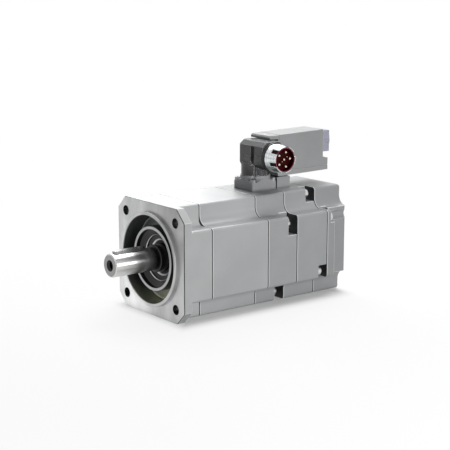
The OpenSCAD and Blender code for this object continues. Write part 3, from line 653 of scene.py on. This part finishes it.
# ---- Front shield -------------------------------------------------------------
# A casting with the square flange. Its front, the raised ring that centres the
# motor and the edges of the bearing boss are turned bright; the recess between
# them keeps the skin of the casting, painted dark as painted shade, the inside of
# the boss is painted black as painted shade, the lower floor of the recess is painted
# paler as painted light, and the outside is painted.
def distance(tree, a, b):
    """How far away a point is whose two parts are a and b."""
    squares = math_node(tree, "ADD", math_node(tree, "MULTIPLY", a, a),
                        math_node(tree, "MULTIPLY", b, b))
    return math_node(tree, "SQRT", squares)


def round_place(tree):
    """How far a point is from the shaft axis and how far behind the flange, in mm."""
    x, y, z = parts_of(tree, object_place(tree))
    return (math_node(tree, "MULTIPLY", distance(tree, x, z), 1 / MM),
            math_node(tree, "MULTIPLY", y, 1 / MM))


# turned metal: grooves of the tool round the shaft axis, and smeared stains
turned_lines, group_in, group_out = new_group(
    "turned_lines", {"Pitch": 2.0}, ["Height", "Shade"])
radius, depth = round_place(turned_lines)
profile = turned_lines.nodes.new("ShaderNodeCombineXYZ")
turned_lines.links.new(radius, profile.inputs["X"])
turned_lines.links.new(depth, profile.inputs["Y"])
grooves = noise(turned_lines, profile.outputs[0], group_in.outputs["Pitch"], 3.0, 0.7)
turned_lines.links.new(grooves, group_out.inputs["Height"])
stain = noise(turned_lines, object_place(turned_lines), 22.0, 4.0, 0.6, (1.0, 1.0, 0.45))
turned_lines.links.new(stain, group_out.inputs["Shade"])


def band(tree, value, low, high, soft=0.25):
    """1 where value lies between low and high, 0 outside, with soft ends."""
    rise = remap(tree, value, low - soft, low + soft)
    fall = remap(tree, value, high - soft, high + soft)
    return math_node(tree, "MULTIPLY", rise, math_node(tree, "SUBTRACT", 1.0, fall), clamp=True)


def both(tree, a, b):
    return math_node(tree, "MULTIPLY", a, b)


def any_of(tree, *masks):
    total = masks[0]
    for mask in masks[1:]:
        total = math_node(tree, "MAXIMUM", total, mask)
    return total


# places on the shield, in mm from the shaft axis and behind the flange
RING_BORE = 60.55
RING_FLOOR = (41.5, 43.0)
FLANGE_FACE = (0.14, 0.02)
RIM_LINE = (0.1, 1.35)
RIM_LINE_FROM = (68.0, 68.4)
BOSS_RIM = (40.2, 44.4)
BOSS_RIM_DEPTH = (3.6, 3.0)
STEP_EDGE = (30.7, 31.9)
STEP_EDGE_DEPTH = (13.4, 14.9)
BORE_EDGE = (25.6, 25.0)
BORE_EDGE_DEPTH = (17.8, 20.4)
# bolt holes, and the floor of the recess that is painted paler low down as painted light,
# in metres on X and Z
HOLE_PLACE = 0.05834
HOLE_EDGE = (0.00705, 0.00690)
PAINTED_LIGHT_FROM = (-0.034, -0.056)
# the housing paint a shade lighter on the frontmost section, as painted light
SHIELD_PAINT_LIT = (0.43, 0.436, 0.44)
# the bolt holes are painted dark as painted shade, the first seam too, with its sealing compound
HOLE_AND_SEAM_SHADE = (0.020, 0.021, 0.022)
# painted shade: the black inside of the boss, and the casting skin of the recess darkened
BOSS_SHADE = (0.022, 0.022, 0.023)
CASTING_SKIN_AND_SHADE = (0.185, 0.194, 0.190)
# painted light: the pale olive of the recess's lower floor
RECESS_PAINTED_LIGHT = (0.42, 0.43, 0.35)
BOSS_RIM_COLOUR = (0.42, 0.425, 0.43)
# painted dark reflection: the thin line round the flange face, which also mirrors little
RIM_DARK_REFLECTION = (0.014, 0.014, 0.015)

shield_finish, tree, out = new_material("shield_turned_and_painted")
x, y, z = parts_of(tree, object_place(tree))
radius, depth = round_place(tree)
lines = place_group(tree, turned_lines, Pitch=1.6)
skin = place_group(tree, paint_skin)
outside = remap(tree, radius, RING_BORE - 0.2, RING_BORE + 0.2)
inside = math_node(tree, "SUBTRACT", 1.0, outside)
front = both(tree, outside, remap(tree, depth, *FLANGE_FACE))
rim_line = both(tree, remap(tree, radius, *RIM_LINE_FROM), band(tree, depth, *RIM_LINE, 0.05))
bore_edge = both(tree, remap(tree, radius, *BORE_EDGE), band(tree, depth, *BORE_EDGE_DEPTH))
boss_rim = both(tree, band(tree, radius, *BOSS_RIM), remap(tree, depth, *BOSS_RIM_DEPTH))
step_edge = both(tree, band(tree, radius, *STEP_EDGE), band(tree, depth, *STEP_EDGE_DEPTH))
metal = any_of(tree, front, bore_edge, boss_rim, step_edge)
from_hole = distance(tree,
                     math_node(tree, "SUBTRACT", math_node(tree, "ABSOLUTE", x), HOLE_PLACE),
                     math_node(tree, "SUBTRACT", math_node(tree, "ABSOLUTE", z), HOLE_PLACE))
in_hole = both(tree, remap(tree, from_hole, *HOLE_EDGE), remap(tree, depth, 0.1, 0.6))

# its edges are painted paler too, from rubbing and as painted highlight
side_rub_and_highlight = math_node(tree, "MULTIPLY", rubbed_and_highlit_edges(tree), 0.7)
colour = blend_colour(tree, side_rub_and_highlight, clouded(tree, SHIELD_PAINT_LIT, skin), GREY_WORN_AND_HIGHLIT)
shade_zone = any_of(tree, inside, in_hole, seam_mask(tree, SEAMS[:1]))
colour = blend_colour(tree, shade_zone, colour, HOLE_AND_SEAM_SHADE)
ring_floor = remap(tree, radius, *RING_FLOOR)
cast_colour = blend_colour(tree, ring_floor, BOSS_SHADE, CASTING_SKIN_AND_SHADE)
lit_floor = both(tree, ring_floor, remap(tree, z, *PAINTED_LIGHT_FROM))
cast_colour = blend_colour(tree, lit_floor, cast_colour, RECESS_PAINTED_LIGHT)
colour = blend_colour(tree, inside, colour, cast_colour)
turned_colour = blend_colour(tree, remap(tree, lines.outputs["Shade"], *NOISE_SPAN),
                             (0.60, 0.605, 0.61), (0.88, 0.88, 0.88))
# painted reflection: the turned flange is painted darker towards its upper right corner and
# lighter at its lower left
painted_reflection_falloff = both(tree, remap(tree, x, -0.055, 0.030, 1.0, 0.62),
              remap(tree, z, -0.070, 0.060, 1.16, 0.84))
colour = blend_colour(tree, metal, colour, darken(tree, turned_colour, painted_reflection_falloff))
colour = blend_colour(tree, boss_rim, colour, BOSS_RIM_COLOUR)
colour = blend_colour(tree, rim_line, colour, RIM_DARK_REFLECTION)

bare_skin = both(tree, inside, math_node(tree, "MULTIPLY_ADD", ring_floor, 0.5, 0.25))
height = blend_colour(tree, metal, skin.outputs["Height"], lines.outputs["Height"])
principled(tree, out, Base_Color=colour, Metallic=any_of(tree, metal, bare_skin),
           Roughness=remap(tree, lines.outputs["Shade"], *NOISE_SPAN, 0.42, 0.30),
           Specular_IOR_Level=math_node(tree, "MULTIPLY_ADD", rim_line, -0.48, 0.5),
           Normal=bump(tree, height, 0.16))
# the boss and the recess are rounded too, as far back as this
BOSS_BOTTOM = 21
cast_from("front_shield", "front_shield_casting", 0.35, shield_finish, "flange_aluminium",
          "housing", lambda x, y, z: y < BOSS_BOTTOM or outer_edge(x, y, z))


# ---- Shaft and the parts inside -----------------------------------------------
# The shaft is ground steel with a keyway; the key sits in it. A rubber seal runs on
# its shoulder, and ball bearings carry it at both ends. Behind the seal are stacks of
# sheet iron with magnets and enamelled copper, the brake and the glass encoder disc.
def steel(name, low, high, rough, pitch=2.0, rub=0.12, groove=True, ground=0.0):
    """Bare metal with fine lines round the shaft axis, or plain grain. Where it is ground,
    its highlights are drawn out along the axis."""
    made, tree, out = new_material(name)
    lines = place_group(tree, turned_lines, Pitch=pitch)
    shade = lines.outputs["Shade"]
    grain = lines.outputs["Height"] if groove else noise(tree, object_place(tree), 900.0, 3.0)
    shader = principled(
        tree, out, Base_Color=blend_colour(tree, remap(tree, shade, *NOISE_SPAN), low, high),
        Metallic=1.0, Roughness=remap(tree, shade, *NOISE_SPAN, rough * 1.3, rough * 0.8),
        Normal=bump(tree, grain, rub, 0.00005))
    if ground:
        around = tree.nodes.new("ShaderNodeTangent")
        around.direction_type = "RADIAL"
        around.axis = "Y"
        tree.links.new(around.outputs[0], shader.inputs["Tangent"])
        shader.inputs["Anisotropic"].default_value = ground
        shader.inputs["Anisotropic Rotation"].default_value = 0.25
    return made


shaft_steel = steel("ground_steel", (0.62, 0.615, 0.61), (0.72, 0.715, 0.71), 0.22, rub=0.0,
                    ground=0.85)
# its end face is less bright; the hole in it and its root in the boss are painted dark as
# painted shade; places in mm
SHAFT_END = CAD_BOX[0][1] / MM
HOLE_WALL = (7.75, 7.60)
HOLE_BOTTOM = (-30.0, -34.0)
SHAFT_ROOT = (-8.0, 2.0)
tree = shaft_steel.node_tree
shader = tree.nodes["Principled BSDF"]
radius, depth = round_place(tree)
end_face = remap(tree, depth, SHAFT_END + 0.10, SHAFT_END + 0.03)
centre_hole = both(tree, remap(tree, radius, *HOLE_WALL), remap(tree, depth, *HOLE_BOTTOM))
tone = shader.inputs["Base Color"].links[0].from_socket
for mask, colour in ((end_face, (0.30, 0.30, 0.30)),
                     (remap(tree, depth, *SHAFT_ROOT), (0.045, 0.045, 0.046)),
                     (centre_hole, (0.035, 0.035, 0.036))):
    tone = blend_colour(tree, mask, tone, colour)
tree.links.new(tone, shader.inputs["Base Color"])
dress(shaft_steel, "shaft")

key_steel = steel("key_steel", (0.26, 0.26, 0.265), (0.38, 0.38, 0.38), 0.30, groove=False)
bearing_steel = steel("bearing_steel", (0.58, 0.58, 0.58), (0.70, 0.70, 0.70), 0.10)
spring_steel = steel("spring_steel", (0.35, 0.35, 0.36), (0.48, 0.48, 0.48), 0.28)
iron_stack = steel("sheet_stack", (0.16, 0.16, 0.17), (0.26, 0.26, 0.27), 0.45, pitch=3.0)
brass = steel("cage_brass", (0.55, 0.38, 0.14), (0.72, 0.52, 0.22), 0.25)
magnet_skin = steel("magnet_plating", (0.30, 0.30, 0.31), (0.45, 0.45, 0.46), 0.35,
                    groove=False)
encoder_metal = steel("encoder_metal", (0.30, 0.30, 0.31), (0.40, 0.40, 0.41), 0.38)
dress(key_steel, "shaft_key")
dress(bearing_steel, "front_bearing_outer", "front_bearing_inner", "front_bearing_balls",
      "rear_bearing_outer", "rear_bearing_inner", "rear_bearing_balls")
dress(brass, "front_bearing_cage", "rear_bearing_cage", "balance_discs")
dress(spring_steel, "bearing_cap", "wave_spring", "shaft_circlip", "swivel_ring",
      "encoder_torque_arm")
dress(iron_stack, "stator_core", "rotor_core", "brake_magnet", "brake_armature", "brake_hub")
dress(magnet_skin, "rotor_magnets")
dress(encoder_metal, "encoder_hub", "encoder_body")
dress(seal_black, "shaft_seal", "head_seal")

copper, tree, out = new_material("enamelled_copper")
strands = noise(tree, object_place(tree), 420.0, stretch=(1.0, 0.12, 1.0))
principled(tree, out,
           Base_Color=blend_colour(tree, strands, (0.28, 0.09, 0.03), (0.62, 0.25, 0.10)),
           Metallic=0.7, Roughness=0.35, Coat_Weight=0.5,
           Normal=bump(tree, strands, 0.5, 0.0004))
dress(copper, "stator_windings", "brake_coil")

glass, tree, out = new_material("coded_glass")
tracks = noise(tree, object_place(tree), 900.0, 1.0)
principled(tree, out, Base_Color=blend_colour(tree, remap(tree, tracks, 0.45, 0.55),
                                              (0.05, 0.06, 0.07), (0.55, 0.60, 0.62)),
           Metallic=0.6, Roughness=0.12)
dress(glass, "encoder_disc")


# ---- Screws -------------------------------------------------------------------
# Socket head screws: a cylinder pulled up into shank and head, its rim rounded and a
# hexagon pushed into its top. Each set's screw is made once, and its copies are joined. The
# long ones hold the sections together from the pockets, the small ones the connectors.
screw_zinc = steel("zinc_plated", (0.60, 0.61, 0.62), (0.76, 0.76, 0.76), 0.30, groove=False)
screw_dark = steel("dark_screws", (0.20, 0.20, 0.21), (0.32, 0.32, 0.33), 0.45, groove=False)
# radius of the shank and of the head, height of the head, radius and depth of the hexagon, mm
LARGE = (4, 6.5, 8, 3.44, 4.5)
MEDIUM = (2.5, 4.25, 5, 2.3, 2.6)
SMALL = (2, 3.5, 4, 1.7, 1.8)
# the rim of the head rises by two steps, at which it is 0.25 and then 0.8 mm narrower
RIM_STEPS = (0.5, 0.2)
RIM_NARROWS = (0.25, 0.8)
# the hexagon lies in a shallow dish: its radius and the width of its slope are shares of
# the hexagon's radius, its depth is in mm
DISH_RADIUS = 1.25
DISH_SLOPE = 0.12
DISH_DEPTH = 0.35


def select_top(mesh):
    """Selects the face at height 0 that looks up."""
    for piece in mesh.faces:
        piece.select = abs(piece.calc_center_median().z) < 1e-5 and piece.normal.z > 0.9


def pull_up(height):
    bpy.ops.mesh.extrude_region_move(TRANSFORM_OT_translate={"value": (0, 0, height * MM)})


def widen(share):
    bpy.ops.transform.resize(value=(share, share, 1))


def socket_screw(name, length, size, material):
    """One screw on the origin, its head upwards from there. Its length is without the head."""
    shank, head, head_height, key, key_depth = size
    bpy.ops.object.select_all(action="DESELECT")
    bpy.ops.mesh.primitive_cylinder_add(vertices=48, radius=shank * MM, depth=length * MM,
                                        location=(0, 0, -length * MM / 2))
    made = bpy.context.object
    made.name = made.data.name = name
    bpy.ops.object.transform_apply(location=True, rotation=False, scale=False)
    bpy.ops.object.mode_set(mode="EDIT")
    bpy.ops.mesh.select_mode(type="FACE")
    # the shank's top face is widened into the head and pulled up
    bpy.ops.mesh.select_all(action="DESELECT")
    select_top(bmesh.from_edit_mesh(made.data))
    pull_up(0.00001)
    widen(head / shank)
    pull_up(head_height - sum(RIM_STEPS))
    width = head
    for narrower, step in zip(RIM_NARROWS, RIM_STEPS):
        pull_up(step)
        widen((head - narrower) / width)
        width = head - narrower
    bpy.ops.mesh.inset(thickness=(width - key * DISH_RADIUS) * MM, depth=0)
    bpy.ops.mesh.inset(thickness=key * DISH_SLOPE * MM, depth=-DISH_DEPTH * MM)
    bpy.ops.object.mode_set(mode="OBJECT")
    # the hexagon is cut out by a six-sided bar
    bpy.ops.object.select_all(action="DESELECT")
    bpy.ops.mesh.primitive_cylinder_add(vertices=6, radius=key * MM, depth=2 * key_depth * MM,
                                        location=(0, 0, head_height * MM))
    bar = bpy.context.object
    cut = made.modifiers.new("hexagon", "BOOLEAN")
    cut.operation = "DIFFERENCE"
    cut.solver = "EXACT"
    cut.object = bar
    finish_modifiers(made)
    bpy.data.objects.remove(bar, do_unlink=True)
    smooth(made, 35)
    give_finish(made, material)
    return made


def screw_set(name, node, size, material, axis, places):
    """Screws instead of a CAD node's, as one piece, with heads along axis: 1 is Y, 2 is Z.
    The node gives their ends, and places their other two coordinates, in mm."""
    start, end = (round(place / MM, 3) for place in reach_along(node, axis))
    seat = end - size[2]
    first = socket_screw(name + "_one", seat - start, size, material)
    upwards = Vector((0, 0, 1))
    heads_along = Vector([float(number == axis) for number in range(3)])
    turned = upwards.rotation_difference(heads_along).to_matrix().to_4x4()
    copies = []
    for place in places:
        point = list(place)
        point.insert(axis, seat)
        copy = first.copy()
        copy.data = first.data.copy()
        copy.data.transform(Matrix.Translation(Vector(point) * MM) @ turned)
        bpy.context.scene.collection.objects.link(copy)
        copies.append(copy)
    only(copies[0])
    for copy in copies:
        copy.select_set(True)
    bpy.ops.object.join()
    made = bpy.context.object
    made.name = made.data.name = name
    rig.replaces(made, node)
    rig.slot(made, "screw_steel")
    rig.ride(made, "housing")
    bpy.data.objects.remove(first, do_unlink=True)


# the elbow's axis and the screws of the encoder foot along Y, mm
ELBOW_Y = 181
ENCODER_SCREWS_Y = 221.6
screw_set("tie_screws", "tie_bolts", LARGE, screw_zinc, 1, TIE)
screw_set("brake_housing_screws", "brake_bolts", LARGE, screw_zinc, 1, BRAKE)
screw_set("cover_screws", "cover_bolts", LARGE, screw_zinc, 1, TIE)
screw_set("connector_foot_screws", "power_foot_screws", MEDIUM, screw_dark, 2,
          [(x, ELBOW_Y + y) for x in (-17.4, 17.4) for y in (-17.6, 17.6)])
screw_set("encoder_base_screws", "encoder_foot_screws", SMALL, screw_dark, 2,
          [(x, ENCODER_SCREWS_Y) for x in (-14, 14)])
dress(screw_zinc, "brake_screws")


# ---- Power connector ----------------------------------------------------------
# A painted cast elbow turns on its foot. A bright ring with six grips sits round
# the dark red insert with its contacts.
# both connector paints are painted darker in their corners, as painted shade
connector_grey = painted("connector_grey", (0.280, 0.283, 0.289), (0.66, 0.66, 0.67),
                         rough=0.25, grain=1300.0, peel=0.08, wear_and_highlight=0.7, corner_shade=0.6, shine=0.4)
# the elbow is also painted darker towards its foot, as painted shade
elbow_grey = painted("elbow_grey", (0.140, 0.143, 0.148), (0.80, 0.80, 0.81), rough=0.20,
                     grain=1300.0, peel=0.08, wear_and_highlight=0.85, corner_shade=0.8, reach=0.022,
                     low_shade=(0.100, 0.128), shine=0.4)
# edges that stay sharp, in mm: those under the power foot, and round the encoder's lead
FOOT_UNDERSIDE = 78
LEAD_HOLE_Y = 215.6
LEAD_HOLE = 7
cast_from("power_foot", "power_foot_casting", 0.4, connector_grey, "connector_paint", "housing",
          lambda x, y, z: z > FOOT_UNDERSIDE, clamp=True)
cast_from("power_head", "power_elbow_casting", 0.5, elbow_grey, "connector_paint",
          "power_elbow", clamp=True)
cast_from("encoder_foot", "encoder_foot_casting", 0.4, connector_grey, "connector_paint",
          "housing", lambda x, y, z: math.hypot(x, y - LEAD_HOLE_Y) > LEAD_HOLE, clamp=True)

ring_nickel, tree, out = new_material("ring_nickel")
lines = noise(tree, object_place(tree), 500.0, 3.0, 0.6, (1.0, 0.15, 0.15))
principled(tree, out, Base_Color=blend_colour(tree, remap(tree, lines, *NOISE_SPAN),
                                              (0.62, 0.66, 0.66), (0.76, 0.80, 0.80)),
           Metallic=1.0, Roughness=remap(tree, lines, *NOISE_SPAN, 0.26, 0.20),
           Normal=bump(tree, lines, 0.06, 0.0001))
cast_from("locking_ring", "ring_turned", 0.25, ring_nickel, "nickel_ring", "socket_ring",
          clamp=True)

# the insert's red is painted near black, as painted shade in its cup, with a lighter red rim
INSERT_RIM = (0.0648, 0.0656)
insert_red, tree, out = new_material("insert_dark_red")
spot = object_place(tree)
speck = noise(tree, spot, 1200.0, 3.0)
base = blend_colour(tree, speck, (0.016, 0.0004, 0.0015), (0.034, 0.001, 0.003))
rim = remap(tree, parts_of(tree, spot)[0], *INSERT_RIM)
principled(tree, out, Base_Color=blend_colour(tree, rim, base, (0.24, 0.055, 0.085)),
           Roughness=0.5, Specular_IOR_Level=0.08, Normal=bump(tree, speck, 0.15))
dress(insert_red, "power_insert")

gold = steel("contact_gold", (0.62, 0.52, 0.36), (0.80, 0.72, 0.58), 0.2, groove=False)
dress(gold, "power_pins")
lead_skin, tree, out = new_material("lead_sleeve")
principled(tree, out, Base_Color=blend_colour(tree, noise(tree, object_place(tree), 400.0),
                                              (0.012, 0.012, 0.014), (0.03, 0.03, 0.034)),
           Roughness=0.5)
dress(lead_skin, "power_leads")


# ---- Encoder interface --------------------------------------------------------
# A painted box on a second foot, with a separate front cap whose visor reaches
# over the elbow, and a floor plate. The socket at its rear wears a clear dust cap.
# the box is rounded along its sides and at its back, in mm, not where the front cap joins
BOX_SIDE = 21.4
BOX_BACK = 280
box_paint = painted("box_grey", (0.300, 0.304, 0.308), (0.5, 0.5, 0.5), rough=0.40,
                    grain=1700.0, peel=0.10)
cast_from("encoder_box", "encoder_box_shell", 0.5, box_paint, "box_grey", "housing",
          lambda x, y, z: abs(x) > BOX_SIDE or y > BOX_BACK)
cast_from("encoder_box_front", "encoder_box_cap", 0.5, box_paint, "box_grey", "housing")
cast_from("encoder_box_floor", "encoder_box_base", 0.4, box_paint, "box_grey", "housing")

board, tree, out = new_material("board_lacquer")
patches = remap(tree, noise(tree, object_place(tree), 500.0, 3.0), 0.45, 0.5)
principled(tree, out,
           Base_Color=blend_colour(tree, patches, (0.01, 0.09, 0.035), (0.02, 0.16, 0.06)),
           Roughness=0.3)
dress(board, "encoder_board")
tin = steel("socket_tin", (0.55, 0.55, 0.55), (0.7, 0.7, 0.7), 0.3, groove=False)
dress(tin, "encoder_socket")

cap_plastic, tree, out = new_material("cap_clear")
spot = object_place(tree)
haze = noise(tree, spot, 60.0, 3.0)
principled(tree, out,
           Base_Color=blend_colour(tree, haze, (0.40, 0.40, 0.50), (0.50, 0.50, 0.60)),
           Roughness=0.28, Transmission_Weight=0.25, IOR=1.46,
           Normal=bump(tree, noise(tree, spot, 800.0), 0.1))
cast_from("dust_cap", "dust_cap_moulding", 0.4, cap_plastic, "cap_clear", "cap", clamp=True)

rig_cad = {"low": list(CAD_BOX[0]), "high": list(CAD_BOX[1])}
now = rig.bounds()
with open("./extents.json", "w") as f:
    json.dump({"cad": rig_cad, "visual": {"low": list(now[0]), "high": list(now[1])}}, f)
